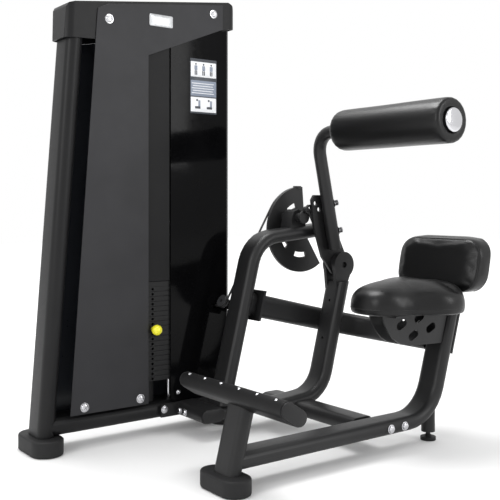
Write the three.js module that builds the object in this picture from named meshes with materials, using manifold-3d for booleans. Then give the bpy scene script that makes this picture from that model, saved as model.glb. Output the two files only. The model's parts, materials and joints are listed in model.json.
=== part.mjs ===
// Ab crunch machine: weight tower, far frame with the arm's pivot, near frame with the seat.
// Units are millimetres and +Z is up. Working frame: X = 0 on the seat's centre plane (+X away from the
// tower), Y = 0 just behind the front foot (+Y towards the back pad). The whole part is moved at the end
// so that the origin is the bottom centre of its bounding box.
import * as THREE from 'three';
import { mergeVertices } from 'three/addons/utils/BufferGeometryUtils.js';
import Module from 'manifold-3d';

const wasm = await Module();
wasm.setup();

// ---------------------------------------------------------------- driving dimensions
const GAP = 0.3;                                   // clearance between touching pieces
const TUBE = { w: 100, t: 50 };                    // flat oval frame tube
const COLUMN = { w: 120, t: 60 };                  // flat oval tower tube
const SEAT_BEAM = { w: 85, t: 45 };
const RAIL_Z = 85;                                 // centre height of every base rail

const TOWER = { x: -680, frontY: -298, lean: 0.077, rearY: 413, bootTop: 54, beamTop: 114 };
const CAP = { y0: -234, y1: 462, frontZ: 1385, rearZ: 1494, topFront: 1504, topRear: 1594, wall: 3.6 };
const STACK = { y: 103, x: TOWER.x, length: 320, depth: 110, thick: 17.5, pitch: 17.8, count: 20, top: 548 };
const SELECTED = 10;                               // plate that carries the selector pin
const ROD = { r: 10, spacing: 200 };
const CABLE = { r: 4, x: -564, riseY: 370, turnZ: 445, topZ: 1485 };

const FAR = { jX: -492, midX: -400, baseY: 302, jLean: 0.259 };
const PIVOT = { y: 800, z: 593 };                  // the arm turns about X here
const SHAFT = { y: 645, z: 776 };                  // the cam turns about X here
const CAM = { y: 733, z: 726, r: 168, x0: -558, x1: -546 };
const CRANK = 30;                                  // both cranks of the crossed link
const STROKE = 60;                                 // arm travel, degrees
const ARM = { x: -376, r: 24, topY: 662, topZ: 1090, lean: 0.215, endZ: 655, bend: 84 };
const ROLLER = { r: 73.5, x0: -235, x1: 266 };
const NEAR = { lean: 0.263, baseY: -24.6 };
const POST = { y: 903, z: 312, lean: 0.304, top: 455 };
const BACK = { x: -10, w: 370, h: 190, z: 615, y0: 899, y1: 977, lean: 0.2 };
const FOOT_BAR = { y: 28, z: 262, x0: -250, x1: 252, tilt: 33 };

// ---------------------------------------------------------------- solid helpers
function toSolid(geometry) {
  const g = geometry.clone();
  g.deleteAttribute('normal');
  g.deleteAttribute('uv');
  const m = mergeVertices(g, 1e-4);
  const mesh = new wasm.Mesh({
    numProp: 3,
    vertProperties: new Float32Array(m.attributes.position.array),
    triVerts: new Uint32Array(m.index.array),
  });
  return new wasm.Manifold(mesh);
}

function fromSolid(solid) {
  const mesh = solid.getMesh();
  const g = new THREE.BufferGeometry();
  g.setAttribute('position', new THREE.BufferAttribute(new Float32Array(mesh.vertProperties), 3));
  g.setIndex(new THREE.BufferAttribute(new Uint32Array(mesh.triVerts), 1));
  return g;
}

const join = (first, ...rest) => fromSolid(rest.reduce((s, g) => s.add(toSolid(g)), toSolid(first)));
const cut = (first, ...rest) => fromSolid(rest.reduce((s, g) => s.subtract(toSolid(g)), toSolid(first)));
const common = (a, b) => fromSolid(toSolid(a).intersect(toSolid(b)));

const V = (x, y, z) => new THREE.Vector3(x, y, z);

function box(x0, x1, y0, y1, z0, z1) {
  return new THREE.BoxGeometry(x1 - x0, y1 - y0, z1 - z0)
    .translate((x0 + x1) / 2, (y0 + y1) / 2, (z0 + z1) / 2);
}

function rod(a, b, r, sides = 24) {
  const axis = b.clone().sub(a);
  const g = new THREE.CylinderGeometry(r, r, axis.length(), sides);
  g.applyQuaternion(new THREE.Quaternion().setFromUnitVectors(V(0, 1, 0), axis.clone().normalize()));
  return g.translate((a.x + b.x) / 2, (a.y + b.y) / 2, (a.z + b.z) / 2);
}

const rodX = (y, z, r, x0, x1, sides) => rod(V(x0, y, z), V(x1, y, z), r, sides);
const rodZ = (x, y, r, z0, z1, sides) => rod(V(x, y, z0), V(x, y, z1), r, sides);

function stadium(w, t, arcs = 8) {
  const r = t / 2, c = w / 2 - r, points = [];
  for (let i = 0; i <= arcs; i++) {
    const a = -Math.PI / 2 + Math.PI * i / arcs;
    points.push(new THREE.Vector2(c + r * Math.cos(a), r * Math.sin(a)));
  }
  for (let i = 0; i <= arcs; i++) {
    const a = Math.PI / 2 + Math.PI * i / arcs;
    points.push(new THREE.Vector2(-c + r * Math.cos(a), r * Math.sin(a)));
  }
  return new THREE.Shape(points);
}

function circle(x, y, r, sides = 32, from = 0) {
  const points = [];
  for (let i = 0; i < sides; i++) {
    const a = from + 2 * Math.PI * i / sides;
    points.push(new THREE.Vector2(x + r * Math.cos(a), y + r * Math.sin(a)));
  }
  return new THREE.Shape(points);
}

function roundedRect(w, h, r, arcs = 6) {
  const points = [];
  for (const [sx, sy, a0] of [[1, -1, -90], [1, 1, 0], [-1, 1, 90], [-1, -1, 180]]) {
    for (let i = 0; i <= arcs; i++) {
      const a = (a0 + 90 * i / arcs) * Math.PI / 180;
      points.push(new THREE.Vector2(sx * (w / 2 - r) + r * Math.cos(a), sy * (h / 2 - r) + r * Math.sin(a)));
    }
  }
  return new THREE.Shape(points);
}

const polygon = (points) => new THREE.Shape(points.map(([a, b]) => new THREE.Vector2(a, b)));

function prism(shape, depth, bevel = 0) {
  return new THREE.ExtrudeGeometry(shape, {
    depth: depth - 2 * bevel, bevelEnabled: bevel > 0, bevelThickness: bevel, bevelSize: bevel,
    bevelOffset: -bevel, bevelSegments: 3, curveSegments: 8, steps: 1,
  }).translate(0, 0, bevel);
}

// A plate whose outline is drawn in Y and Z and whose thickness runs from x0 to x1.
function plateYZ(shape, x0, x1, bevel = 0) {
  const turn = new THREE.Matrix4().makeBasis(V(0, 1, 0), V(0, 0, 1), V(1, 0, 0));
  return prism(shape, x1 - x0, bevel).applyMatrix4(turn).translate(x0, 0, 0);
}

// An upright oval post that leans in Y, with level ends.
function leaningPost(section, x, baseY, lean, z0, z1, grow = 0) {
  const shear = new THREE.Matrix4().set(1, 0, 0, x, 0, 1, lean, baseY + lean * z0, 0, 0, 1, z0, 0, 0, 0, 1);
  return prism(stadium(section.w + grow, section.t + grow), z1 - z0).applyMatrix4(shear);
}

// Corner points joined by straight runs and round bends.
function rounded(corners, radii, stepDeg = 12) {
  const out = [corners[0].clone()];
  for (let i = 1; i < corners.length - 1; i++) {
    const p = corners[i], a = corners[i - 1].clone().sub(p).normalize();
    const b = corners[i + 1].clone().sub(p).normalize();
    const half = a.angleTo(b) / 2, r = radii[i - 1];
    const centre = p.clone().add(a.clone().add(b).normalize().multiplyScalar(r / Math.sin(half)));
    const start = p.clone().add(a.clone().multiplyScalar(r / Math.tan(half))).sub(centre);
    const end = p.clone().add(b.clone().multiplyScalar(r / Math.tan(half))).sub(centre);
    const axis = start.clone().cross(end).normalize(), sweep = start.angleTo(end);
    const steps = Math.max(2, Math.ceil(sweep * 180 / Math.PI / stepDeg));
    for (let k = 0; k <= steps; k++) {
      out.push(start.clone().applyAxisAngle(axis, sweep * k / steps).add(centre));
    }
  }
  out.push(corners[corners.length - 1].clone());
  return out;
}

// A path through given points. The section's x axis follows the reference direction.
class Route extends THREE.Curve {
  constructor(points, reference) {
    super();
    this.points = points;
    this.reference = reference;
  }

  getPoint(t) {
    return this.points[Math.round(t * (this.points.length - 1))].clone();
  }

  getSpacedPoints() {
    return this.points.map((p) => p.clone());
  }

  computeFrenetFrames() {
    const tangents = [], normals = [], binormals = [], last = this.points.length - 1;
    let reference = this.reference.clone();
    this.points.forEach((p, i) => {
      const t = V(0, 0, 0);
      if (i > 0) t.add(p.clone().sub(this.points[i - 1]).normalize());
      if (i < last) t.add(this.points[i + 1].clone().sub(p).normalize());
      t.normalize();
      const n = reference.clone().sub(t.clone().multiplyScalar(reference.dot(t))).normalize();
      if (this.carry) reference = n.clone();
      tangents.push(t);
      normals.push(n);
      binormals.push(t.clone().cross(n));
    });
    return { tangents, normals, binormals };
  }
}

function sweep(shape, points, reference, carry = false) {
  const path = new Route(points, reference);
  path.carry = carry;
  return new THREE.ExtrudeGeometry(shape, { steps: points.length - 1, extrudePath: path, bevelEnabled: false });
}

// A grooved wheel about X, centred on the origin, for a cable whose centre line runs at radius r.
function pulley(r, bore = 6.3) {
  const rim = r + 4, groove = r - CABLE.r - GAP;
  const profile = [[bore, -9], [rim, -9], [rim, -7], [groove, -4.5], [groove, 4.5], [rim, 7], [rim, 9],
    [bore, 9], [bore, -9]];
  const g = new THREE.LatheGeometry(profile.map(([a, b]) => new THREE.Vector2(a, b)), 28);
  return g.rotateZ(-Math.PI / 2);
}

// ---------------------------------------------------------------- the assembly and its finishes
const group = new THREE.Group();
const FINISH = {
  frame: [0x2c2d2f, 0.55, 0.5], rubber: [0x161616, 0.0, 0.85], grey: [0x3a3b3d, 0.4, 0.45],
  gloss: [0x0b0b0c, 0.1, 0.08], steel: [0xc8cacd, 1.0, 0.2], plate: [0x222325, 0.5, 0.55],
  yellow: [0xe8dc1c, 0.0, 0.35], vinyl: [0x131314, 0.0, 0.5], cable: [0x1b1b1c, 0.0, 0.6],
};

function put(name, geometry, finish) {
  const g = geometry.index ? geometry.toNonIndexed() : geometry.clone();
  g.deleteAttribute('uv');
  g.computeVertexNormals();
  const [color, metalness, roughness] = FINISH[finish];
  const mesh = new THREE.Mesh(g, new THREE.MeshStandardMaterial({ color, metalness, roughness }));
  mesh.name = name;
  group.add(mesh);
}

// ---------------------------------------------------------------- weight tower
const T = TOWER;
const capRoof = (y) => CAP.topFront + (CAP.topRear - CAP.topFront) * (y - CAP.y0) / (CAP.y1 - CAP.y0);

function boot(x, y, w, t, h) {
  return prism(stadium(w, t, 10), h, 6).translate(x, y, 0);
}

function towerFrame() {
  const front = (grow) => leaningPost(COLUMN, T.x, T.frontY, T.lean, T.bootTop + GAP, 1440, grow);
  put('tower_front_column', front(0), 'frame');
  const beam = prism(stadium(COLUMN.w, T.beamTop - T.bootTop - GAP), T.rearY - COLUMN.t / 2 - GAP + 290)
    .applyMatrix4(new THREE.Matrix4().makeBasis(V(1, 0, 0), V(0, 0, -1), V(0, 1, 0)))
    .translate(T.x, -290, (T.beamTop + T.bootTop + GAP) / 2);
  put('tower_base_beam', cut(beam, front(2 * GAP)), 'frame');

  // The rear column carries the two stub axles of the low pulley and of the side pulley.
  const column = prism(stadium(COLUMN.w, COLUMN.t), 1540 - T.bootTop - GAP)
    .translate(T.x, T.rearY, T.bootTop + GAP);
  const lowAxle = rod(V(LOW.x, 361, LOW.z), V(LOW.x, 400, LOW.z), 6);
  const lug = box(-650, -562, 420, 440, 428, 462);
  const sideAxle = rod(SIDE.centre.clone().addScaledVector(SIDE.axis, 10),
    SIDE.centre.clone().addScaledVector(SIDE.axis, -52), 6);
  put('tower_rear_column', join(column, lowAxle, lug, sideAxle), 'frame');

  put('tower_front_foot', boot(T.x, T.frontY + 3, 210, 110, T.bootTop), 'rubber');
  put('tower_rear_foot', boot(T.x, T.rearY, 210, 110, T.bootTop), 'rubber');
}

// The cap is a folded cover, open below, that slopes up to the rear. Two axles cross it.
function topCap() {
  const w = CAP.wall, x0 = T.x - COLUMN.w / 2 - w - 0.4, x1 = T.x + COLUMN.w / 2 + w + 0.4;
  const outer = polygon([[CAP.y0, CAP.frontZ], [-120, CAP.frontZ + 4], [CAP.y1, CAP.rearZ],
    [CAP.y1, CAP.topRear - 34], [CAP.y1 - 10, CAP.topRear - 12], [CAP.y1 - 34, CAP.topRear - 3],
    [CAP.y0 + 34, CAP.topFront + 4], [CAP.y0 + 14, CAP.topFront - 2], [CAP.y0 + 5, CAP.topFront - 16]]);
  const inner = polygon([[CAP.y0 + w + 2, CAP.frontZ - 20], [CAP.y1 - w, CAP.frontZ - 20],
    [CAP.y1 - w, CAP.topRear - 38], [CAP.y1 - 38, CAP.topRear - 7 - w],
    [CAP.y0 + 36, CAP.topFront - w], [CAP.y0 + w + 4, CAP.topFront - 24]]);
  const plan = (grow, r) => prism(roundedRect(x1 - x0 - grow, CAP.y1 - CAP.y0 + 8 - grow, r), 400)
    .translate(T.x, (CAP.y0 + CAP.y1) / 2, 1300);
  const shell = cut(common(plateYZ(outer, x0, x1), plan(0, 34)), common(plateYZ(inner, x0 + w, x1 - w),
    plan(2 * w, 31)));
  const axles = TOP_WHEELS.map((y) => rodX(y, CABLE.topZ, 6, x0 + w / 2, x1 - w / 2));
  const bars = [-1, 1].map((s) => STACK.y + s * ROD.spacing / 2)
    .map((y) => box(x0 + w / 2, x1 - w / 2, y - 15, y + 15, 1500 + GAP, 1508));
  put('tower_top_cap', join(shell, ...axles, ...bars), 'frame');
}

function towerPanels() {
  const grey = polygon([[-219, 118], [79, 118], [79, 1354], [400, 1484], [400, capRoof(400) - 10],
    [-78, capRoof(-78) - 10], [-104, capRoof(-104) - 18], [-117, 1496], [-120, 1478], [-129, 1352],
    [-149, 1077]]);
  put('side_panel_grey', plateYZ(grey, -615.6, -612.2), 'grey');
  const black = polygon([[173, 112], [419, 112], [419, 1482], [173, 1436]]);
  black.holes.push(circle(CABLE.riseY, CABLE.turnZ, 12, 20));
  put('side_panel_black', plateYZ(black, -619.6, -616.1), 'gloss');
  put('stack_guard', plateYZ(polygon([[60, 550], [170, 550], [170, 1450], [60, 1450]]), -623.4, -620.3), 'frame');
  put('far_side_panel', plateYZ(polygon([[-285, 96], [430, 96], [430, 1487.8], [-119, 1388.7], [-188, 1386.3]]), -743.8, -740.3),
    'gloss');
}

function weightStack() {
  const z0 = T.beamTop + GAP;
  for (const [name, side] of [['guide_rod_front', -1], ['guide_rod_rear', 1]]) {
    put(name, rodZ(T.x, STACK.y + side * ROD.spacing / 2, ROD.r, z0, 1500, 20), 'steel');
  }
  put('bumper', cut(rodZ(T.x, STACK.y, 30, z0, 191.7, 24), rodZ(T.x, STACK.y, 12, 100, 200, 16)), 'rubber');

  const pinHole = rodX(STACK.y, STACK.thick / 2, 4.8, T.x - 25, T.x + 80, 8);
  const blank = prism(roundedRect(STACK.depth, STACK.length, 6, 1), STACK.thick).translate(T.x, STACK.y, 0);
  const guides = [-1, 1].map((s) => rodZ(T.x, STACK.y + s * ROD.spacing / 2, ROD.r + 0.8, -5, 30, 12));
  const centre = rodZ(T.x, STACK.y, 9.8, -5, 30, 12);
  const head = cut(blank, ...guides), plain = cut(blank, ...guides, centre, pinHole);
  for (let i = 1; i <= STACK.count; i++) {
    const z = STACK.top - STACK.thick - (i - 1) * STACK.pitch;
    const name = `plate_${String(i).padStart(2, '0')}`;
    if (i > 1) {
      put(name, plain.clone().translate(0, 0, z), 'plate');
      continue;
    }
    // The head plate carries the selector rod, drilled where the pin goes in.
    const stem = rodZ(T.x, STACK.y, 9, 196, z + 4, 16);
    const drill = pinHole.clone().translate(0, 0, pinPlateZ());
    put(name, cut(join(head.clone().translate(0, 0, z), stem), drill), 'plate');
  }
}

const pinPlateZ = () => STACK.top - STACK.thick - (SELECTED - 1) * STACK.pitch;

function selectorPin() {
  const z = pinPlateZ() + STACK.thick / 2, x = T.x + STACK.depth / 2;
  const knob = new THREE.SphereGeometry(19, 16, 10).translate(x + 30, STACK.y, z);
  put('selector_pin', join(rodX(STACK.y, z, 4, T.x - 18, x + 16, 12), knob,
    rodX(STACK.y, z, 9, x + 2, x + 16, 16)), 'yellow');
}

// ---------------------------------------------------------------- cable and its wheels
const DOWN = V(0, 0.5055, 0.8627);                 // from the side pulley up to the cam
const TURN = V(CABLE.x, CABLE.riseY, CABLE.turnZ);
const LOW = { r: 24, x: T.x + 24, z: CABLE.turnZ + 24 };
const SIDE = { r: 20, axis: V(0, -0.8627, 0.5055) };
SIDE.centre = TURN.clone().addScaledVector(DOWN, SIDE.r).add(V(-SIDE.r, 0, 0));
const TOP_R = 38;
const TOP_WHEELS = [STACK.y + TOP_R, CABLE.riseY - TOP_R];

function cables() {
  put('top_pulley_front', pulley(TOP_R).translate(T.x, TOP_WHEELS[0], CABLE.topZ), 'steel');
  put('top_pulley_rear', pulley(TOP_R).translate(T.x, TOP_WHEELS[1], CABLE.topZ), 'steel');
  put('tower_low_pulley', pulley(LOW.r).rotateZ(Math.PI / 2).translate(LOW.x, CABLE.riseY, LOW.z), 'steel');
  const tilt = new THREE.Quaternion().setFromUnitVectors(V(1, 0, 0), SIDE.axis);
  put('side_pulley', pulley(SIDE.r).applyQuaternion(tilt)
    .translate(SIDE.centre.x, SIDE.centre.y, SIDE.centre.z), 'steel');

  const section = circle(0, 0, CABLE.r, 8), top = CABLE.topZ + TOP_R, split = CABLE.topZ - 5;
  put('cable_stack_run', rodZ(T.x, STACK.y, CABLE.r, STACK.top + GAP, split, 8), 'cable');
  const afterSide = TURN.clone().addScaledVector(DOWN, SIDE.r + 4);
  const route = rounded([V(T.x, STACK.y, split + GAP), V(T.x, STACK.y, top), V(T.x, CABLE.riseY, top),
    V(T.x, CABLE.riseY, CABLE.turnZ), TURN, afterSide], [TOP_R, TOP_R, LOW.r, SIDE.r], 15);
  put('cable_main', sweep(section, route, V(1, 0, 0.001), true), 'cable');

  // From the side pulley the cable runs up beside the cam and follows its rim as far as the clamp.
  const rim = CAM.r - CABLE.r, wrap = [];
  for (let deg = 149.6; deg >= 94; deg -= 7.9) {
    const a = deg * Math.PI / 180;
    wrap.push(V(CABLE.x, CAM.y + rim * Math.cos(a), CAM.z + rim * Math.sin(a)));
  }
  const start = afterSide.clone().addScaledVector(DOWN, GAP);
  put('cable_cam_run', sweep(section, [start, ...wrap], V(1, 0, 0)), 'cable');
}

// ---------------------------------------------------------------- far frame
const yzRoute = (x, corners, radii) => rounded(corners.map(([y, z]) => V(x, y, z)), radii);
const railX = (x0, x1, y, grow = 0) => prism(stadium(TUBE.w + grow, TUBE.t + grow), x1 - x0)
  .applyMatrix4(new THREE.Matrix4().makeBasis(V(0, 1, 0), V(0, 0, 1), V(1, 0, 0))).translate(x0, y, RAIL_Z);
const railY = (y0, y1, x, grow = 0) => prism(stadium(TUBE.w + grow, TUBE.t + grow), y1 - y0)
  .applyMatrix4(new THREE.Matrix4().makeBasis(V(1, 0, 0), V(0, 0, -1), V(0, 1, 0))).translate(x, y0, RAIL_Z);

function jPost(grow = 0) {
  const y = (z) => FAR.baseY + FAR.jLean * (z - 110);
  const path = yzRoute(FAR.jX, [[y(80), 80], [y(696), 696], [760, 725]], [121]);
  const tube = sweep(stadium(TUBE.w + grow, TUBE.t + grow), path, V(1, 0, 0));
  return common(tube, box(-700, -300, 0, 900, 110 + GAP, 900));
}

function farFrame() {
  // Connecting beam from the tower, with the rail that runs back to the cross member.
  const flange = box(-618.7, -606, 128, 352, 62, 108);
  put('connecting_beam', join(railX(-618.7, -442, 240), railY(240, 528.7, FAR.jX), flange), 'frame');

  // The J-shaped post carries the cam's bearing block on its arch.
  const x0 = FAR.jX - 30, x1 = FAR.jX + 30;
  const block = plateYZ(polygon([[SHAFT.y - 40, 728], [SHAFT.y + 40, 728], [SHAFT.y + 30, SHAFT.z],
    [SHAFT.y + 20, SHAFT.z + 22], [SHAFT.y, SHAFT.z + 30], [SHAFT.y - 20, SHAFT.z + 22],
    [SHAFT.y - 30, SHAFT.z]]), x0, x1);
  put('j_post', cut(join(jPost(), block), rodX(SHAFT.y, SHAFT.z, 16.4, x0 - 5, x1 + 5, 28)), 'frame');
  put('middle_post', middlePost(), 'frame');
}

function middlePost() {
  const y = (z) => 736 + 0.26 * (z - 314), x = FAR.midX;
  const path = yzRoute(x, [[y(545), 545], [y(114), 114], [455, 97]], [120]);
  const tube = common(sweep(stadium(TUBE.w, TUBE.t), path, V(1, 0, 0)), box(-600, -200, 400, 1000, 0, 530));
  const neck = [[PIVOT.y - 48, PIVOT.z], [y(500) - 22, 500], [y(500) + 22, 500], [PIVOT.y + 48, PIVOT.z]];
  const near = [plateYZ(polygon(neck), -388, -372), rodX(PIVOT.y, PIVOT.z, 50, -388, -372, 40)];
  const far = [plateYZ(polygon(neck), -440, -426), rodX(PIVOT.y, PIVOT.z, 50, -440, -426, 40)];
  const tie = plateYZ(polygon([[PIVOT.y - 46, 600], [PIVOT.y + 40, 600], [PIVOT.y + 8, 690], [778, 748],
    [722, 748], [722, 700]]), -440, -426);
  const pin = rodX(PIVOT.y, PIVOT.z, 12, -430, -384, 24);
  const gusset = plateYZ(polygon([[629.6, 62], [640, 62], [705, 112], [705, 190], [629.6, 120]]), x - 4, x + 4);
  const body = join(tube, ...near, ...far, tie, pin, gusset);
  const pegs = [455, 315].map((z) => rod(V(x, y(z) - 45, z + 10), V(x, y(z) - 10, z), 5, 12));
  return cut(body, railX(-560, -40, 579, 2 * GAP), railY(200, 540, FAR.jX, 2 * GAP), ...pegs,
    rodX(PIVOT.y, PIVOT.z, 12, -381, -365, 20), rodX(655, 92, 8, x - 10, x + 10, 16));
}

// ---------------------------------------------------------------- arm, roller, cam and link
const along = V(0, PIVOT.y - SHAFT.y, PIVOT.z - SHAFT.z);
const centreDistance = along.length();
const upAngle = Math.atan2(PIVOT.z - SHAFT.z, PIVOT.y - SHAFT.y) + Math.PI / 2;
const half = STROKE / 2 * Math.PI / 180;
const polar = (c, r, a) => [c.y + r * Math.cos(a), c.z + r * Math.sin(a)];
const CRANK_PIN = polar(SHAFT, CRANK, upAngle + half);          // on the cam's shaft, at rest
const CARRIER_PIN = polar(PIVOT, CRANK, upAngle + Math.PI - half);  // on the arm's carrier, at rest

function arm() {
  const [py, pz] = [PIVOT.y, PIVOT.z];
  const outline = polygon([[712, 625], [672, 742], [660, 842], [672, 860], [716, 860], [734, 838],
    [778, 740], [848, 600], [py, pz - 30], [760, 565]]);
  const plate = [plateYZ(outline, -412, -400.6)];
  const hub = [rodX(py, pz, 50, -412, -400.6, 40), rodX(py, pz, 44, -412, -388.5, 40)];
  const pin = rodX(...CARRIER_PIN, 6, -424.4, -405, 16);
  const holes = [rodX(679, 829, 9, -420, -390, 16), rodX(697, 806, 9, -420, -390, 16),
    rodX(py, pz, 12.3, -420, -380, 24)];
  put('arm_carrier', cut(join(...plate, ...hub, pin), ...holes), 'frame');

  const endY = ARM.topY + ARM.lean * (ARM.topZ - ARM.endZ);
  const path = rounded([V(ROLLER.x1 - 12, ARM.topY, ARM.topZ), V(ARM.x, ARM.topY, ARM.topZ),
    V(ARM.x, endY, ARM.endZ)], [ARM.bend], 9);
  const tube = sweep(circle(0, 0, ARM.r, 24), path, V(0, 1, 0));
  const collar = rodX(ARM.topY, ARM.topZ, 34, ROLLER.x0 - 12, ROLLER.x0 - 1, 32);
  const plug = rodX(ARM.topY, ARM.topZ, 37, ROLLER.x1 - 9, ROLLER.x1 + 6, 32);
  const stub = rodX(ARM.topY, ARM.topZ, 20, ROLLER.x1 - 20, ROLLER.x1 - 4, 24);
  put('arm_tube', join(tube, collar, stub, plug), 'frame');

  const pad = [[24.5, ROLLER.x0], [62, ROLLER.x0], [70, ROLLER.x0 + 4], [73.5, ROLLER.x0 + 14],
    [73.5, ROLLER.x1 - 14], [70, ROLLER.x1 - 4], [62, ROLLER.x1], [38, ROLLER.x1], [38, ROLLER.x1 - 10],
    [24.5, ROLLER.x1 - 10], [24.5, ROLLER.x0]];
  put('roller_pad', new THREE.LatheGeometry(pad.map(([a, b]) => new THREE.Vector2(a, b)), 40)
    .rotateZ(-Math.PI / 2).translate(0, ARM.topY, ARM.topZ), 'vinyl');
}

// A round-ended arc slot at radius 100 about the cam disc's centre.
function arcSlot(midDeg, spanDeg) {
  const points = [], r = 100, h = 10;
  const at = (radius, deg) => [CAM.y + radius * Math.cos(deg * Math.PI / 180),
    CAM.z + radius * Math.sin(deg * Math.PI / 180)];
  for (let k = 0; k <= 6; k++) points.push(at(r + h, midDeg - spanDeg / 2 + spanDeg * k / 6));
  for (let k = 6; k >= 0; k--) points.push(at(r - h, midDeg - spanDeg / 2 + spanDeg * k / 6));
  return plateYZ(polygon(points), CAM.x0 - 5, CAM.x1 + 5);
}

function camAndLink() {
  const disc = rodX(CAM.y, CAM.z, CAM.r, CAM.x0, CAM.x1, 64);
  const away = plateYZ(polygon([[732, 960], [745, 794], [766, 687], [850, 556], [960, 600], [960, 960]]),
    CAM.x0 - 5, CAM.x1 + 5);
  const slots = [arcSlot(119, 26), arcSlot(205, 34), arcSlot(266, 34)];
  const shaft = rodX(SHAFT.y, SHAFT.z, 16, CAM.x0 - 4, -425.2, 28);
  const crank = [rodX(SHAFT.y, SHAFT.z, 24, -433.6, -425.2, 28), rodX(...CRANK_PIN, 13, -433.6, -425.2, 20),
    rodX(...CRANK_PIN, 6, -430, -413.6, 16)];
  put('cam', join(cut(disc, away, ...slots), shaft, ...crank), 'frame');

  // The link keeps its direction: the slotted eye takes up the few millimetres of the crossed linkage.
  const [cy, cz] = CARRIER_PIN, u = along.clone().normalize();
  const n = V(0, Math.cos(upAngle), Math.sin(upAngle));
  const reach = u.clone().multiplyScalar(centreDistance).addScaledVector(n, -2 * CRANK * (1 + Math.cos(half)) / 2);
  const eye = V(0, cy, cz).sub(reach);
  const body = (r) => sweep(stadium(2 * r, 10.4), [V(-418.6, cy, cz), V(-418.6, eye.y, eye.z)], n);
  const bar = [body(7.5), rodX(cy, cz, 13, -423.8, -413.4, 20),
    rodX(eye.y + 5 * n.y, eye.z + 5 * n.z, 14, -423.8, -413.4, 20),
    rodX(eye.y - 5 * n.y, eye.z - 5 * n.z, 14, -423.8, -413.4, 20)];
  const slot = [-6, -3, 0, 3, 6].map((s) => rodX(eye.y + s * n.y, eye.z + s * n.z, 6.6, -430, -405, 16));
  put('link', cut(join(...bar), rodX(cy, cz, 6.3, -430, -405, 16), ...slot), 'frame');
}

// ---------------------------------------------------------------- near frame
const LEVELLER_Y = 851;

function seatPost(grow = 0) {
  const y = (z) => POST.y + POST.lean * (z - POST.z);
  const path = yzRoute(0, [[586 + GAP, RAIL_Z], [y(RAIL_Z), RAIL_Z], [y(480), 480]], [150]);
  return common(sweep(stadium(TUBE.w + grow, TUBE.t + grow), path, V(1, 0, 0)),
    box(-100, 100, 500, 1100, 0, POST.top));
}

function footBar(grow = 0) {
  const bar = prism(stadium(TUBE.w + grow, TUBE.t + grow), FOOT_BAR.x1 - FOOT_BAR.x0, grow ? 0 : 3)
    .applyMatrix4(new THREE.Matrix4().makeBasis(V(0, 1, 0), V(0, 0, 1), V(1, 0, 0)));
  return bar.rotateX(-FOOT_BAR.tilt * Math.PI / 180).translate(FOOT_BAR.x0, FOOT_BAR.y, FOOT_BAR.z);
}

function nearFrame() {
  const post = leaningPost(TUBE, 0, NEAR.baseY, NEAR.lean, 50 + GAP, 262);
  put('cross_member', railX(-545, -50 - GAP, 579), 'frame');
  const body = join(post, railY(0, 586, 0));
  put('near_frame', cut(body, footBar(2 * GAP), seatPost(2 * GAP)), 'frame');
  put('near_foot', boot(0, NEAR.baseY + 6, 190, 96, 50), 'rubber');
  put('foot_bar', footBar(), 'frame');

  const y = LEVELLER_Y, sleeve = rodZ(0, y, 24, 30, 150, 24);
  put('seat_post', cut(join(seatPost(), sleeve), rodZ(0, y, 8.4, 0, 112, 16)), 'frame');
  put('leveller_near', join(rodZ(0, y, 27, 0, 12, 28), rodZ(0, y, 8, 4, 100, 16), rodZ(0, y, 12, 10, 19, 6)),
    'rubber');

  // Seat beam: bolted to the J-post by a flange, it bends round to the side of the seat post.
  const drop = (y) => 468 - 0.2412 * (y - 395);
  const path = rounded([V(FAR.jX, 400, drop(400)), V(FAR.jX, 905, drop(905)), V(-50 - GAP, 905, 345)], [200], 9);
  const beam = sweep(stadium(SEAT_BEAM.w, SEAT_BEAM.t), path, V(0, 0, 1));
  const lean = new THREE.Matrix4().set(1, 0, 0, 0, 0, 1, FAR.jLean, 0, 0, 0, 1, 0, 0, 0, 0, 1);
  const flange = box(-540, -436, 331.5, 341.5, 400, 508).applyMatrix4(lean);
  const side = common(join(beam, flange), box(-700, -50 - GAP, 380, 1000, 200, 600));
  put('seat_beam', cut(side, jPost(2 * GAP), seatPost(2 * GAP), middlePost()), 'frame');
}

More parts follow.
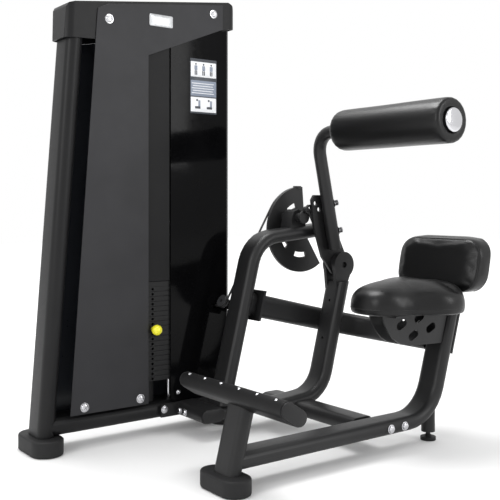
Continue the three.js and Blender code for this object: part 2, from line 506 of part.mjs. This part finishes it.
function seatAndBack() {
  const plate = polygon([[591, 456], [600, 432], [620, 400], [645, 374], [674, 358], [720, 346],
    [884, 339.5], [919, 456]]);
  const slot = (y, z) => {
    const s = stadium(50, 26, 6).getPoints().map((p) => {
      const a = 24 * Math.PI / 180;
      return [y + p.x * Math.cos(a) - p.y * Math.sin(a), z + p.x * Math.sin(a) + p.y * Math.cos(a)];
    });
    return plateYZ(polygon(s), -60, 60);
  };
  const plates = [-32, 26].map((x) => plateYZ(plate, x, x + 6));
  const top = box(-85, 85, 600, 880, 454, 460);
  const holes = [slot(683, 421), slot(770, 437), slot(829, 398), slot(741, 380)];
  put('seat_bracket', cut(join(...plates, top), ...holes, seatPost(2 * GAP)), 'frame');

  const pad = new THREE.Shape();
  pad.moveTo(0, 521);
  pad.bezierCurveTo(62, 521, 92, 550, 104, 610);
  pad.bezierCurveTo(118, 690, 186, 700, 188, 780);
  pad.bezierCurveTo(190, 845, 150, 877, 80, 877);
  pad.lineTo(-80, 877);
  pad.bezierCurveTo(-150, 877, -190, 845, -188, 780);
  pad.bezierCurveTo(-186, 700, -118, 690, -104, 610);
  pad.bezierCurveTo(-92, 550, -62, 521, 0, 521);
  put('seat_pad', prism(pad, 94, 20).translate(0, 0, 460 + GAP), 'vinyl');

  const back = prism(roundedRect(BACK.w, BACK.h, 66, 8), BACK.y1 - BACK.y0, 16)
    .applyMatrix4(new THREE.Matrix4().makeBasis(V(1, 0, 0), V(0, 0, 1), V(0, -1, 0)));
  const lean = new THREE.Matrix4().set(1, 0, 0, BACK.x, 0, 1, BACK.lean, BACK.y1, 0, 0, 1, BACK.z, 0, 0, 0, 1);
  put('back_pad', back.applyMatrix4(lean), 'vinyl');

  const y = (z) => POST.y + POST.lean * (z - POST.z) + 26.4 + 4.5, rear = (z) => BACK.y1 + 4.8 + BACK.lean * (z - BACK.z);
  const path = yzRoute(0, [[y(298), 298], [y(450), 450], [rear(520), 520], [rear(690), 690]], [18, 18]);
  const strap = sweep(polygon([[-40, -4], [40, -4], [40, 4], [-40, 4]]), path, V(1, 0, 0));
  put('back_bracket', cut(strap, seatPost(2 * GAP)), 'frame');
}

towerFrame();
topCap();
towerPanels();
weightStack();
selectorPin();
cables();
farFrame();
arm();
camAndLink();
nearFrame();
seatAndBack();

// ---------------------------------------------------------------- origin at the bottom centre of the box
const bounds = new THREE.Box3().setFromObject(group);
const shift = V(-(bounds.min.x + bounds.max.x) / 2, -(bounds.min.y + bounds.max.y) / 2, -bounds.min.z);
group.children.forEach((mesh) => mesh.geometry.translate(shift.x, shift.y, shift.z));

export default group;
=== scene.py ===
import json
import math
import bpy
from mathutils import Matrix, Vector
from mathutils.bvhtree import BVHTree

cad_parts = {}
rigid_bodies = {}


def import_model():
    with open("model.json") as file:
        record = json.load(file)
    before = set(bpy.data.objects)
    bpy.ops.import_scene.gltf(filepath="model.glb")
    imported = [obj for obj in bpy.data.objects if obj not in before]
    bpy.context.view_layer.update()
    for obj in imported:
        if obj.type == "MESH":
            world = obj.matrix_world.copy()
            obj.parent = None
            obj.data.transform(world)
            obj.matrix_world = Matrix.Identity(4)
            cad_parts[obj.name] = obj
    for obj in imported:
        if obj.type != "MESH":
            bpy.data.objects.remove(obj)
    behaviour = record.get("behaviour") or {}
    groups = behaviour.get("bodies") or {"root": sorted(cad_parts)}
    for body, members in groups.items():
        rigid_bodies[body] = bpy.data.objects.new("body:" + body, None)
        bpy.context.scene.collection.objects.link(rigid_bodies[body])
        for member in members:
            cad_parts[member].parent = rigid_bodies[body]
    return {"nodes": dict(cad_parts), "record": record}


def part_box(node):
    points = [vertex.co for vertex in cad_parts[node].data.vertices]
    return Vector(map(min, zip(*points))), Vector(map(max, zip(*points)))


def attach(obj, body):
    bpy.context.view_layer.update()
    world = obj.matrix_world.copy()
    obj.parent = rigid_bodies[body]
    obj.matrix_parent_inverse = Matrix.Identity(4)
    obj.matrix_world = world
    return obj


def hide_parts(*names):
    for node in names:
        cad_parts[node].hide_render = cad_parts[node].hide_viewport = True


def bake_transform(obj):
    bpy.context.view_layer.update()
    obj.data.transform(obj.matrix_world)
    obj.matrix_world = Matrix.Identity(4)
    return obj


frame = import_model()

for old in list(bpy.data.objects):
    if old.type in {"CAMERA", "LIGHT"} or old.name == "Cube":
        bpy.data.objects.remove(old)
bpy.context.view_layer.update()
NODES = frame["nodes"]

# Design coordinates are millimetres with X = 0 on the seat's centre plane, +Y towards the back pad.
REAR_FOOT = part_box("tower_rear_foot")[0]
SHIFT = Vector((REAR_FOOT.x * 1000 + 785, REAR_FOOT.y * 1000 - 358, 0.0))
X, Y, Z = Vector((1, 0, 0)), Vector((0, 1, 0)), Vector((0, 0, 1))


def W(x, y, z):
    return (Vector((x, y, z)) + SHIFT) / 1000


# ---------------------------------------------------------------- camera, floor and light
def make_stage():
    data = bpy.data.cameras.new("camera")
    data.lens, data.sensor_width, data.shift_y = 60.26, 36.0, -0.094
    data.clip_end = 100
    cam = bpy.data.objects.new("camera", data)
    bpy.context.scene.collection.objects.link(cam)
    cam.location = W(1979.55, -1411, 830)
    cam.rotation_euler = Vector((-0.8007, 0.599, 0)).to_track_quat("-Z", "Y").to_euler()
    bpy.context.scene.camera = cam

    world = bpy.data.worlds.new("studio")
    world.use_nodes = True
    sky = world.node_tree.nodes["Background"]
    sky.inputs["Color"].default_value = (1, 1, 1, 1)
    sky.inputs["Strength"].default_value = 1.0
    bpy.context.scene.world = world
    bpy.context.scene.view_settings.view_transform = "Standard"

    mesh = bpy.data.meshes.new("floor")
    s = 14
    mesh.from_pydata([(-s, -s, 0), (s, -s, 0), (s, s, 0), (-s, s, 0)], [], [(0, 1, 2, 3)])
    floor = bpy.data.objects.new("floor", mesh)
    bpy.context.scene.collection.objects.link(floor)
    floor.location.z = -0.0005
    # The floor glows, as painted light: faintly near the machine and more strongly with distance from it, so
    # the far floor reads white while the shade around the machine stays.
    mat = bpy.data.materials.new("floor")
    mat.use_nodes = True
    shader = mat.node_tree.nodes["Principled BSDF"]
    shader.inputs["Base Color"].default_value = (0.76, 0.76, 0.76, 1)
    shader.inputs["Roughness"].default_value = 0.8
    shader.inputs["Emission Color"].default_value = (1, 1, 1, 1)
    links, nodes = mat.node_tree.links, mat.node_tree.nodes
    kinds = ("ShaderNodeTexCoord", "ShaderNodeVectorMath", "ShaderNodeMapRange")
    where, reach, painted_glow = (nodes.new(kind) for kind in kinds)
    reach.operation = "LENGTH"
    links.new(where.outputs["Object"], reach.inputs[0])
    for key, value in (("From Min", 1.3), ("From Max", 3.2), ("To Min", 0.03), ("To Max", 0.45)):
        painted_glow.inputs[key].default_value = value
    links.new(reach.outputs["Value"], painted_glow.inputs["Value"])
    links.new(painted_glow.outputs["Result"], shader.inputs["Emission Strength"])
    shader.inputs["Specular IOR Level"].default_value = 0.2
    mesh.materials.append(mat)

    for name, at, aim, size, power in LIGHTS:
        light = bpy.data.lights.new(name, "AREA")
        light.shape, light.size, light.size_y, light.energy = "RECTANGLE", size[0], size[1], power
        lamp = bpy.data.objects.new(name, light)
        bpy.context.scene.collection.objects.link(lamp)
        lamp.location = Vector(at)
        lamp.rotation_euler = (Vector(aim) - Vector(at)).to_track_quat("-Z", "Y").to_euler()


LIGHTS = [
    ("top_softbox", (-0.9, -0.2, 3.8), (0.1, 0, 0.3), (1.8, 1.8), 125),
    ("front_softbox", (0.9, -3.8, 2.4), (-0.3, 0, 0.7), (0.9, 2.2), 42),
    ("side_softbox", (3.4, 1.8, 2.1), (0, 0, 0.7), (0.9, 2.0), 36),
]


# ---------------------------------------------------------------- procedural materials
def material(name, color, rough, grain=900, bump=0.06, depth=0.0004, metallic=0.0, spec=0.5, coat=0.0,
             vary=0.12, cells=False, sheen=0.0, blotch=7.0):
    mat = bpy.data.materials.new(name)
    mat.use_nodes = True
    nt = mat.node_tree
    shader = nt.nodes["Principled BSDF"]
    shader.inputs["Metallic"].default_value = metallic
    shader.inputs["Specular IOR Level"].default_value = spec
    shader.inputs["Coat Weight"].default_value = coat
    shader.inputs["Coat Roughness"].default_value = 0.06
    shader.inputs["Sheen Weight"].default_value = sheen
    where = nt.nodes.new("ShaderNodeTexCoord")

    def noise(scale, detail=3.0):
        n = nt.nodes.new("ShaderNodeTexNoise")
        n.inputs["Scale"].default_value = scale
        n.inputs["Detail"].default_value = detail
        nt.links.new(where.outputs["Object"], n.inputs["Vector"])
        return n

    cloud = noise(blotch, 4.0)
    ramp = nt.nodes.new("ShaderNodeValToRGB")
    low, high = ramp.color_ramp.elements
    low.position, high.position = 0.3, 0.7
    low.color = tuple(c * (1 - vary) for c in color) + (1,)
    high.color = tuple(min(1.0, c * (1 + vary)) for c in color) + (1,)
    nt.links.new(cloud.outputs["Fac"], ramp.inputs["Fac"])
    nt.links.new(ramp.outputs["Color"], shader.inputs["Base Color"])

    streak = noise(blotch * 9, 2.0)
    span = nt.nodes.new("ShaderNodeMapRange")
    span.inputs["To Min"].default_value = max(0.02, rough - 0.05)
    span.inputs["To Max"].default_value = min(1.0, rough + 0.05)
    nt.links.new(streak.outputs["Fac"], span.inputs["Value"])
    nt.links.new(span.outputs["Result"], shader.inputs["Roughness"])

    if cells:
        fine = nt.nodes.new("ShaderNodeTexVoronoi")
        fine.inputs["Scale"].default_value = grain
        nt.links.new(where.outputs["Object"], fine.inputs["Vector"])
        height = fine.outputs["Distance"]
    else:
        height = noise(grain, 2.0).outputs["Fac"]
    relief = nt.nodes.new("ShaderNodeBump")
    relief.inputs["Strength"].default_value = bump
    relief.inputs["Distance"].default_value = depth
    nt.links.new(height, relief.inputs["Height"])
    nt.links.new(relief.outputs["Normal"], shader.inputs["Normal"])
    return mat


PAINT = material("powder_coat", (0.0115, 0.0115, 0.012), 0.40, grain=1100, bump=0.12, spec=0.30)
GREY = material("grey_panel_paint", (0.025, 0.025, 0.0272), 0.42, grain=1300, bump=0.06, spec=0.20)
GLOSS = material("gloss_panel", (0.0022, 0.0022, 0.0025), 0.08, grain=30, bump=0.02, spec=0.07, vary=0.2)
CHROME = material("chrome", (0.60, 0.60, 0.62), 0.14, grain=400, bump=0.02, metallic=1.0, vary=0.04)
PLATE = material("plate_paint", (0.007, 0.007, 0.0075), 0.50, grain=500, bump=0.15, spec=0.3)
RUBBER = material("rubber", (0.013, 0.013, 0.0135), 0.60, grain=1500, bump=0.2, spec=0.25)
PLASTIC = material("plug_plastic", (0.008, 0.008, 0.0085), 0.45, grain=1600, bump=0.12, spec=0.3)
NYLON = material("pulley_nylon", (0.03, 0.03, 0.032), 0.38, grain=900, bump=0.05)
SHEATH = material("cable_sheath", (0.012, 0.012, 0.012), 0.35, grain=1500, bump=0.05)
KNOB = material("knob_yellow", (0.82, 0.76, 0.03), 0.28, grain=300, bump=0.02, coat=0.3, vary=0.04)
VINYL = material("vinyl", (0.0030, 0.0030, 0.0032), 0.34, grain=750, bump=0.22, depth=0.0004, cells=True,
                 spec=0.30, vary=0.18)
THREAD = material("piping", (0.006, 0.006, 0.0065), 0.42, grain=1800, bump=0.2, spec=0.3)
WHITE = material("label_white", (0.72, 0.73, 0.75), 0.35, grain=600, bump=0.02, vary=0.02)
BLUE = material("label_blue_grey", (0.20, 0.23, 0.29), 0.35, grain=600, bump=0.02, vary=0.04)
INK = material("label_ink", (0.03, 0.035, 0.045), 0.4, grain=600, bump=0.02, vary=0.04)
GUARD = material("guard_paint", (0.0095, 0.0095, 0.010), 0.45, grain=1200, bump=0.08, spec=0.14)
# The tower's columns, cap and base beam have the same powder coat as the frame; this darker, less glossy
# copy is painted shade.
TOWER_SHADED = material("tower_coat_painted_shade", (0.0075, 0.0075, 0.008), 0.42, grain=1100, bump=0.12, spec=0.22)
# The foot bar has the same powder coat as the frame; this darker, less glossy copy is painted shade.
BAR_SHADED = material("foot_bar_coat_painted_shade", (0.005, 0.005, 0.0053), 0.46, grain=1100, bump=0.14, spec=0.18)
DARK = material("far_panel_paint", (0.020, 0.022, 0.027), 0.30, grain=1200, bump=0.05, spec=0.6)
BADGE = material("badge_alloy", (0.50, 0.51, 0.52), 0.36, grain=260, bump=0.5, depth=0.0008, metallic=1.0,
                 vary=0.12, blotch=60.0)

LOOKS = {"frame_paint": PAINT, "plates": PLATE, "chrome": CHROME, "rubber": RUBBER, "grey_panel": GREY,
         "gloss_panel": GLOSS, "pulleys": NYLON, "cable": SHEATH, "knob": KNOB, "vinyl": VINYL}
# The tower parts and the foot bar take darker copies of the frame paint, as painted shade.
SPECIAL = {"stack_guard": GUARD, "far_side_panel": DARK, "foot_bar": BAR_SHADED, "tower_front_column": TOWER_SHADED,
           "tower_rear_column": TOWER_SHADED, "tower_top_cap": TOWER_SHADED, "tower_base_beam": TOWER_SHADED}
SLOT_OF = {s["node"]: s["material_slot"] for s in frame["record"]["subparts"]}


def dress_cad():
    """Gives every CAD node its material, small rounded edges and smooth shading."""
    for name, obj in NODES.items():
        data = obj.data
        data.materials.clear()
        data.materials.append(SPECIAL.get(name, LOOKS[SLOT_OF[name]]))
        if "custom_normal" in data.attributes:
            data.attributes.remove(data.attributes["custom_normal"])
        data.polygons.foreach_set("use_smooth", [True] * len(data.polygons))
        weld = obj.modifiers.new("weld", "WELD")
        weld.merge_threshold = 2e-5
        bevel = obj.modifiers.new("bevel", "BEVEL")
        bevel.limit_method, bevel.angle_limit = "ANGLE", math.radians(32)
        bevel.width, bevel.segments = (0.0006 if "panel" in name or "guard" in name else 0.0012), 2
        bevel.use_clamp_overlap = True
        normal = obj.modifiers.new("normals", "WEIGHTED_NORMAL")
        normal.keep_sharp = False


# ---------------------------------------------------------------- mesh helpers
def piece(name, verts, faces, mat, body, slot, smooth=True):
    mesh = bpy.data.meshes.new(name)
    mesh.from_pydata([tuple(v) for v in verts], [], faces)
    mesh.materials.append(mat)
    mesh.polygons.foreach_set("use_smooth", [smooth] * len(mesh.polygons))
    mesh.validate()
    obj = bpy.data.objects.new(name, mesh)
    bpy.context.scene.collection.objects.link(obj)
    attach(obj, body)
    return obj


def soften(obj, width, segments=2):
    bevel = obj.modifiers.new("bevel", "BEVEL")
    bevel.limit_method, bevel.angle_limit = "ANGLE", math.radians(35)
    bevel.width, bevel.segments = width, segments
    normal = obj.modifiers.new("normals", "WEIGHTED_NORMAL")
    normal.keep_sharp = False
    return obj


def loft(rings):
    """Closed rings of equal length, joined in order, with flat ends."""
    n, verts, faces = len(rings[0]), [p for ring in rings for p in ring], []
    for i in range(len(rings) - 1):
        for k in range(n):
            a, b = i * n + k, i * n + (k + 1) % n
            faces.append((a, b, b + n, a + n))
    faces.append(tuple(reversed(range(n))))
    faces.append(tuple(range(len(verts) - n, len(verts))))
    return verts, faces


def basis(axis):
    axis = axis.normalized()
    side = axis.cross(Z if abs(axis.z) < 0.9 else X).normalized()
    return axis, side, axis.cross(side)


def turned(name, profile, at, axis, mat, body, slot, sides=40, smooth=True, edge=0.0):
    """A solid of revolution. Profile pairs are radius and height in millimetres."""
    axis, side, up = basis(axis)
    rings = []
    for r, h in profile:
        rings.append([at + (axis * h + side * (r * math.cos(t)) + up * (r * math.sin(t))) / 1000
                      for t in (2 * math.pi * k / sides for k in range(sides))])
    verts, faces = loft(rings)
    obj = piece(name, verts, faces, mat, body, slot, smooth)
    if edge:
        soften(obj, edge)
    return obj


def round_bolt(name, at, axis, r, body, mat=CHROME):
    k = r / 10
    turned(name, [(r * 1.2, 0), (r * 1.25, 0.8), (r * 1.2, 1.8), (r * 0.98, 1.9), (r * 0.96, 3.2 * k + 1),
                  (r * 0.8, 5.0 * k + 1), (r * 0.5, 5.8 * k + 1), (r * 0.44, 5.8 * k + 1),
                  (r * 0.40, 3.6 * k + 1), (r * 0.05, 3.4 * k + 1)],
           at, axis, mat, body, "chrome", edge=0.0003)


def hex_bolt(name, at, axis, r, body, height=8.0):
    washer = [(r * 1.25, 0), (r * 1.35, 0.5), (r * 1.35, 1.7), (r * 1.2, 2.2), (r * 0.3, 2.2)]
    turned(name + "_washer", washer, at, axis, CHROME, body, "chrome", edge=0.0002)
    head = [(r * 1.05, 2.2), (r * 1.1, 3.0), (r * 1.1, height),
            (r * 0.85, height + 1.6), (r * 0.1, height + 1.8)]
    turned(name, head, at, axis, CHROME, body, "chrome", sides=6, smooth=False, edge=0.0006)


def rounded_outline(w, h, r, steps=8):
    out = []
    for sx, sy, a0 in ((1, -1, -90), (1, 1, 0), (-1, 1, 90), (-1, -1, 180)):
        for i in range(steps + 1):
            a = math.radians(a0 + 90 * i / steps)
            out.append((sx * (w / 2 - r) + r * math.cos(a), sy * (h / 2 - r) + r * math.sin(a)))
    return out


def slab(name, outline, at, u, v, depth, mat, body, slot, dome=0.0, edge=0.6):
    """A thin plate with a rounded rim. Its outline lies along u and v and it rises along u x v."""
    n = u.cross(v)
    rings = []
    for inset, h in ((0.0, 0.0), (0.0, depth - edge), (edge * 0.5, depth - edge * 0.3), (edge * 1.4, depth),
                     (None, depth + dome)):
        ring = []
        for a, b in outline:
            length = math.hypot(a, b)
            k = 0.35 if inset is None else (length - inset) / length
            ring.append(at + (u * (a * k) + v * (b * k) + n * h) / 1000)
        rings.append(ring)
    return piece(name, *loft(rings), mat, body, slot)


# ---------------------------------------------------------------- fittings
def fittings():
    for i, (y, z) in enumerate(((-76, 1463), (357, 1537), (-168, 141), (46, 141))):
        round_bolt(f"panel_bolt_{i}", W(-612.1, y, z), X, 13, "frame")
    round_bolt("black_panel_bolt", W(-616.0, 204, 141), X, 7, "frame")
    hex_bolt("tower_flange_bolt", W(-605.8, 140, 90), X, 10, "frame", 6)
    for i, x in enumerate((-580, -545)):
        hex_bolt(f"beam_bolt_{i}", W(x, 190, 84), -Y, 9, "frame", 6)
    for i, y in enumerate((613, 678)):
        hex_bolt(f"rail_bolt_{i}", W(50, y, 85), X, 11, "frame", 7)
    for i, z in enumerate((304, 365)):
        y = 903 + 0.304 * (z - 312) + 30.9 + 4.3
        hex_bolt(f"strap_bolt_{i}", W(0, y, z), Vector((0, 0.957, -0.29)), 8, "frame", 5)
    for i, z in enumerate((825, 722)):
        out = Vector((0.42, 0.89, 0.19)).normalized()
        hex_bolt(f"arm_bolt_{i}", W(-376, 662 + 0.215 * (1090 - z), z) + out * 0.0235, out, 11, "arm", 15)
    for i, x in enumerate((-215, -130, -45, 45, 130, 215)):
        up, across = Vector((0, 0.545, 0.839)), Vector((0, 0.839, -0.545))
        out = (up * 0.55 - across * 0.835).normalized()
        round_bolt(f"tread_screw_{i}", W(x, 28, 262) + (out * 25.0 - across * 25) / 1000, out, 4.2, "frame")


def end_plugs():
    oval = rounded_outline(96, 46, 22.9, 10)
    tilt = math.radians(-33)
    bar_v = Vector((0, math.sin(-tilt), math.cos(tilt)))
    bar_u = Vector((0, math.cos(tilt), math.sin(tilt)))
    for end, x, u in (("near", 252.2, bar_u), ("far", -250.2, -bar_u)):
        slab(f"foot_bar_plug_{end}", oval, W(x, 28, 262), u, bar_v, 5, PLASTIC,
             "frame", "frame_paint", 1.5, 2)
    slab("beam_plug", oval, W(-441.8, 240, 85), Y, Z, 5, PLASTIC, "frame", "frame_paint", 1.5, 2)
    slab("cross_member_plug", oval, W(-545.2, 579, 85), -Y, Z, 5, PLASTIC, "frame", "frame_paint", 1.5, 2)
    lean = Vector((0, -0.2, 0.98)).normalized()
    slab("arch_plug", oval, W(-492, 760.4, 725), -X, lean, 4, PLASTIC, "frame", "frame_paint", 1.5, 2)


def tread():
    """A ribbed rubber tread on the flat top face of the foot bar."""
    up, across = Vector((0, 0.545, 0.839)), Vector((0, 0.839, -0.545))
    top = W(1, 28, 262) + (up * 25.05) / 1000
    slab("tread", rounded_outline(40, 430, 6, 4), top + across * 0.004, across * -1, X * 1, 2.2, RUBBER,
         "frame", "rubber")
    for i in range(7):
        slab(f"tread_rib_{i}", rounded_outline(2.2, 420, 1.0, 3), top + across * ((i - 3) * 5.2 + 4) / 1000,
             across * -1, X * 1, 3.2, RUBBER, "frame", "rubber")


def roller_cap():
    at = W(272.2, 662, 1090)
    profile = [(37.5, -6), (38.5, -5), (38.5, -1), (37, 0.8), (33, 2.0), (27, 3.0), (20, 3.8), (13, 4.4),
               (6, 4.8), (0.5, 5.0)]
    turned("roller_cap", profile, at, X, CHROME, "arm", "chrome", 56)


def placard():
    """A generic use placard: header, three plain figures, a colour block, and two plain figures."""
    x, y, z = -615.7, 314, 1262.5
    slab("placard_base", rounded_outline(118, 203, 3, 4), W(x, y, z), Y, Z, 1.0, INK, "frame", "gloss_panel")
    face = x + 1.1

    def panel(name, dy, dz, w, h, mat, depth=0.4, r=1.5):
        slab(name, rounded_outline(w, h, r, 3), W(face, y + dy, z + dz), Y, Z, depth, mat,
             "frame", "gloss_panel", edge=0.15)

    panel("placard_box_top", 0, 62, 112, 56, WHITE)
    panel("placard_box_mid", 0, -8, 112, 58, BLUE)
    panel("placard_box_low", 0, -68, 112, 54, WHITE)
    for i in range(5):
        panel(f"placard_rule_{i}", -3, 10 - i * 9, 98 - 9 * (i % 2), 2.4, WHITE, 0.7, 0.8)
    face += 0.45
    for i, dy in enumerate((-34, 0, 34)):
        panel(f"placard_head_{i}", dy, 81, 6, 7, INK, 0.3, 2.6)
        panel(f"placard_torso_{i}", dy, 67, 13, 18, BLUE, 0.3, 3)
        panel(f"placard_leg_a_{i}", dy - 3.4, 49, 4.4, 17, INK, 0.3, 1.6)
        panel(f"placard_leg_b_{i}", dy + 3.4, 49, 4.4, 17, INK, 0.3, 1.6)
    for i, dy in enumerate((-26, 26)):
        panel(f"placard_figure_seat_{i}", dy, -79, 24, 9, INK, 0.3, 2)
        panel(f"placard_figure_back_{i}", dy + 7, -64, 9, 24, BLUE, 0.3, 2)
        panel(f"placard_figure_head_{i}", dy - 3, -52, 8, 8, INK, 0.3, 3.4)


def badge():
    slab("badge_plate", rounded_outline(97, 43, 6, 6), W(-612.1, 130, 1482), Y, Z, 2.2, BADGE,
         "frame", "chrome", 0.3, 0.8)


def cam_cable():
    """The cable from the side pulley to the cam's rim, and the clamp that ends it.

    Its wrapped end lies along the cam's rim and the run below is straight; the cable is not attached to the
    cam.
    """
    x, cam_y, cam_z, rim_r, cable_r = -564, 733, 726, 164, 0.004
    foot = W(x, 382.3, 466)
    rim = [W(x, cam_y + rim_r * math.cos(math.radians(a)), cam_z + rim_r * math.sin(math.radians(a)))
           for a in (149.6 - 4.6 * i for i in range(13))]
    line = [foot.lerp(rim[0], i / 24) for i in range(24)] + rim
    rings = []
    for i, p in enumerate(line):
        t = (line[min(i + 1, len(line) - 1)] - line[max(i - 1, 0)]).normalized()
        side = t.cross(X).normalized()
        up = side.cross(t)
        rings.append([p + (side * math.cos(a) + up * math.sin(a)) * cable_r
                      for a in (2 * math.pi * k / 12 for k in range(12))])
    verts, faces = loft(rings)
    mesh = bpy.data.meshes.new("cam_cable")
    mesh.from_pydata([tuple(v) for v in verts], [], faces)
    mesh.materials.append(SHEATH)
    mesh.polygons.foreach_set("use_smooth", [True] * len(mesh.polygons))
    cable = bpy.data.objects.new("cam_cable", mesh)
    bpy.context.scene.collection.objects.link(cable)
    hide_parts("cable_cam_run")
    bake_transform(cable)
    slab("cable_clamp", rounded_outline(26, 24, 4, 4), W(-557, 719, 884), Y, -X, 13, PAINT,
         "cam", "frame_paint")


# ---------------------------------------------------------------- soft pads
def apply_modifiers(obj):
    graph = bpy.context.evaluated_depsgraph_get()
    mesh = bpy.data.meshes.new_from_object(obj.evaluated_get(graph))
    obj.modifiers.clear()
    obj.data = mesh
    mesh.polygons.foreach_set("use_smooth", [True] * len(mesh.polygons))


def puff(obj, voxel, cap, hold, pressure=3.0):
    """Inflates a closed pad a little, as stuffed vinyl, and leaves the points that hold() picks in place."""
    remesh = obj.modifiers.new("remesh", "REMESH")
    remesh.mode, remesh.voxel_size = "VOXEL", voxel
    apply_modifiers(obj)
    rest = [v.co.copy() for v in obj.data.vertices]
    pins = obj.vertex_groups.new(name="hold")
    pins.add([v.index for v in obj.data.vertices if hold(v.co)], 1.0, "REPLACE")
    cloth = obj.modifiers.new("cloth", "CLOTH")
    s = cloth.settings
    s.use_pressure, s.uniform_pressure_force = True, pressure
    s.tension_stiffness = s.compression_stiffness = 25
    s.vertex_group_mass = "hold"
    s.effector_weights.gravity = 0
    cloth.point_cache.frame_end = 20
    scene = bpy.context.scene
    for f in range(1, 21):
        scene.frame_set(f)
    apply_modifiers(obj)
    scene.frame_set(1)
    for v, was in zip(obj.data.vertices, rest):
        move = v.co - was
        if move.length > cap:
            v.co = was + move.normalized() * cap
    smooth = obj.modifiers.new("smooth", "SMOOTH")
    smooth.factor, smooth.iterations = 0.5, 12
    sub = obj.modifiers.new("sub", "SUBSURF")
    sub.levels = sub.render_levels = 1
    apply_modifiers(obj)
    obj.data.materials.clear()
    obj.data.materials.append(VINYL)


def piping(name, pad, points, radius, body):
    """A thin welt that lies on the pad's finished surface along the given closed line."""
    tree = BVHTree.FromObject(pad, bpy.context.evaluated_depsgraph_get())
    line = [tree.find_nearest(p)[0] for p in points]
    for _ in range(2):
        n = len(line)
        line = [(line[i - 1] + line[i] * 2 + line[(i + 1) % n]) / 4 for i in range(n)]
    rings, n = [], len(line)
    for i, p in enumerate(line):
        t = (line[(i + 1) % n] - line[i - 1]).normalized()
        near = tree.find_nearest(p)
        out = near[1] if near[1] is not None else Z
        side = t.cross(out).normalized()
        out = side.cross(t).normalized()
        rings.append([p + (side * math.cos(a) + out * math.sin(a)) * radius
                      for a in (2 * math.pi * k / 8 for k in range(8))])
    verts, faces = [p for r in rings for p in r], []
    for i in range(n):
        for k in range(8):
            a, b = i * 8 + k, i * 8 + (k + 1) % 8
            c, d = ((i + 1) % n) * 8 + (k + 1) % 8, ((i + 1) % n) * 8 + k
            faces.append((a, d, c, b))
    return piece(name, verts, faces, THREAD, body, "vinyl")


def bezier(p0, p1, p2, p3, n):
    out = []
    for i in range(n):
        t = i / n
        a, b, c, d = (1 - t) ** 3, 3 * t * (1 - t) ** 2, 3 * t * t * (1 - t), t ** 3
        out.append(tuple(a * p0[j] + b * p1[j] + c * p2[j] + d * p3[j] for j in (0, 1)))
    return out


def seat_outline():
    half = (bezier((0, 521), (62, 521), (92, 550), (104, 610), 14)
            + bezier((104, 610), (118, 690), (186, 700), (188, 780), 14)
            + bezier((188, 780), (190, 845), (150, 877), (80, 877), 12) + [(80, 877), (40, 877)])
    return half + [(0, 877)] + [(-x, y) for x, y in reversed(half[1:])]


def seat_pad():
    outline, cx, cy = seat_outline(), 0, 730

    def ring(inset, z, lift=0.0):
        out = []
        for x, y in outline:
            dx, dy = x - cx, y - cy
            length = math.hypot(dx, dy)
            k = max(0.12, (length - inset) / length)
            px, py = cx + dx * k, cy + dy * k
            rise = max(0.0, min(1.0, (py - 790) / 85))
            out.append(W(px, py, z + lift * rise * rise * (3 - 2 * rise)))
        return out

    rings = [ring(16, 461), ring(5, 464), ring(0, 476), ring(1, 498, 2), ring(4, 514, 8), ring(12, 528, 14),
             ring(25, 540, 19), ring(45, 550, 20), ring(75, 558, 16), ring(110, 563, 10), ring(150, 565, 4)]
    pad = piece("seat_cushion", *loft(rings), VINYL, "frame", "vinyl")
    puff(pad, 0.005, 0.007, lambda p: p.z < 0.468)
    piping("seat_welt", pad, ring(1, 482), 0.0016, "frame")
    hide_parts("seat_pad")


BACK_LEAN = 0.2


def back_pad():
    outline = rounded_outline(368, 188, 64, 12)

    def ring(inset, y):
        out = []
        for a, b in outline:
            k = max(0.1, (math.hypot(a, b) - inset) / math.hypot(a, b))
            out.append(W(-10 + a * k, y + 4 + BACK_LEAN * b * k, 615 + b * k))
        return out

    rings = [ring(12, 972.5), ring(3, 970), ring(0, 962), ring(0, 925), ring(1, 908), ring(6, 900.5),
             ring(18, 897.5),
             ring(40, 896), ring(62, 895.5), ring(80, 895.5)]
    pad = piece("back_cushion", *loft(rings), VINYL, "frame", "vinyl")
    rear, middle = W(0, 968, 0).y, W(0, 0, 615).z
    puff(pad, 0.005, 0.0035, lambda p: p.y - BACK_LEAN * (p.z - middle) > rear)
    piping("back_welt_front", pad, ring(3, 903), 0.0016, "frame")
    piping("back_welt_rear", pad, ring(1, 961), 0.0016, "frame")
    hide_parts("back_pad")


def roller():
    """Foam roller in a tight vinyl sleeve, gathered over its ends."""
    sides, rings = 96, []
    profile = [(25.5, -230), (44, -232.5), (58, -234), (66, -232), (71, -226), (73.2, -214)]
    profile += [(73.4 - 0.35 * math.sin(math.pi * i / 20), -214 + 460 * i / 20) for i in range(1, 20)]
    profile += [(73.2, 250), (72, 258), (69, 263), (64, 265.4), (56, 266), (46, 265.5),
                (40.5, 263), (40, 258)]
    for r, x in profile:
        ring = []
        for k in range(sides):
            t = 2 * math.pi * k / sides
            near_end = max(0.0, 1 - min(abs(x + 226), abs(x - 257)) / 22)
            q = r + 0.5 * near_end * math.sin(t * 22) + 0.25 * math.sin(t * 3 + x * 0.02)
            ring.append(W(x, 662 + q * math.cos(t), 1090 + q * math.sin(t)))
        rings.append(ring)
    pad = piece("roller_cushion", *loft(rings), VINYL, "roller", "vinyl")
    sub = pad.modifiers.new("sub", "SUBSURF")
    sub.levels = sub.render_levels = 1
    apply_modifiers(pad)
    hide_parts("roller_pad")


make_stage()
dress_cad()
fittings()
end_plugs()
tread()
roller_cap()
placard()
badge()
cam_cable()
seat_pad()
back_pad()
roller()
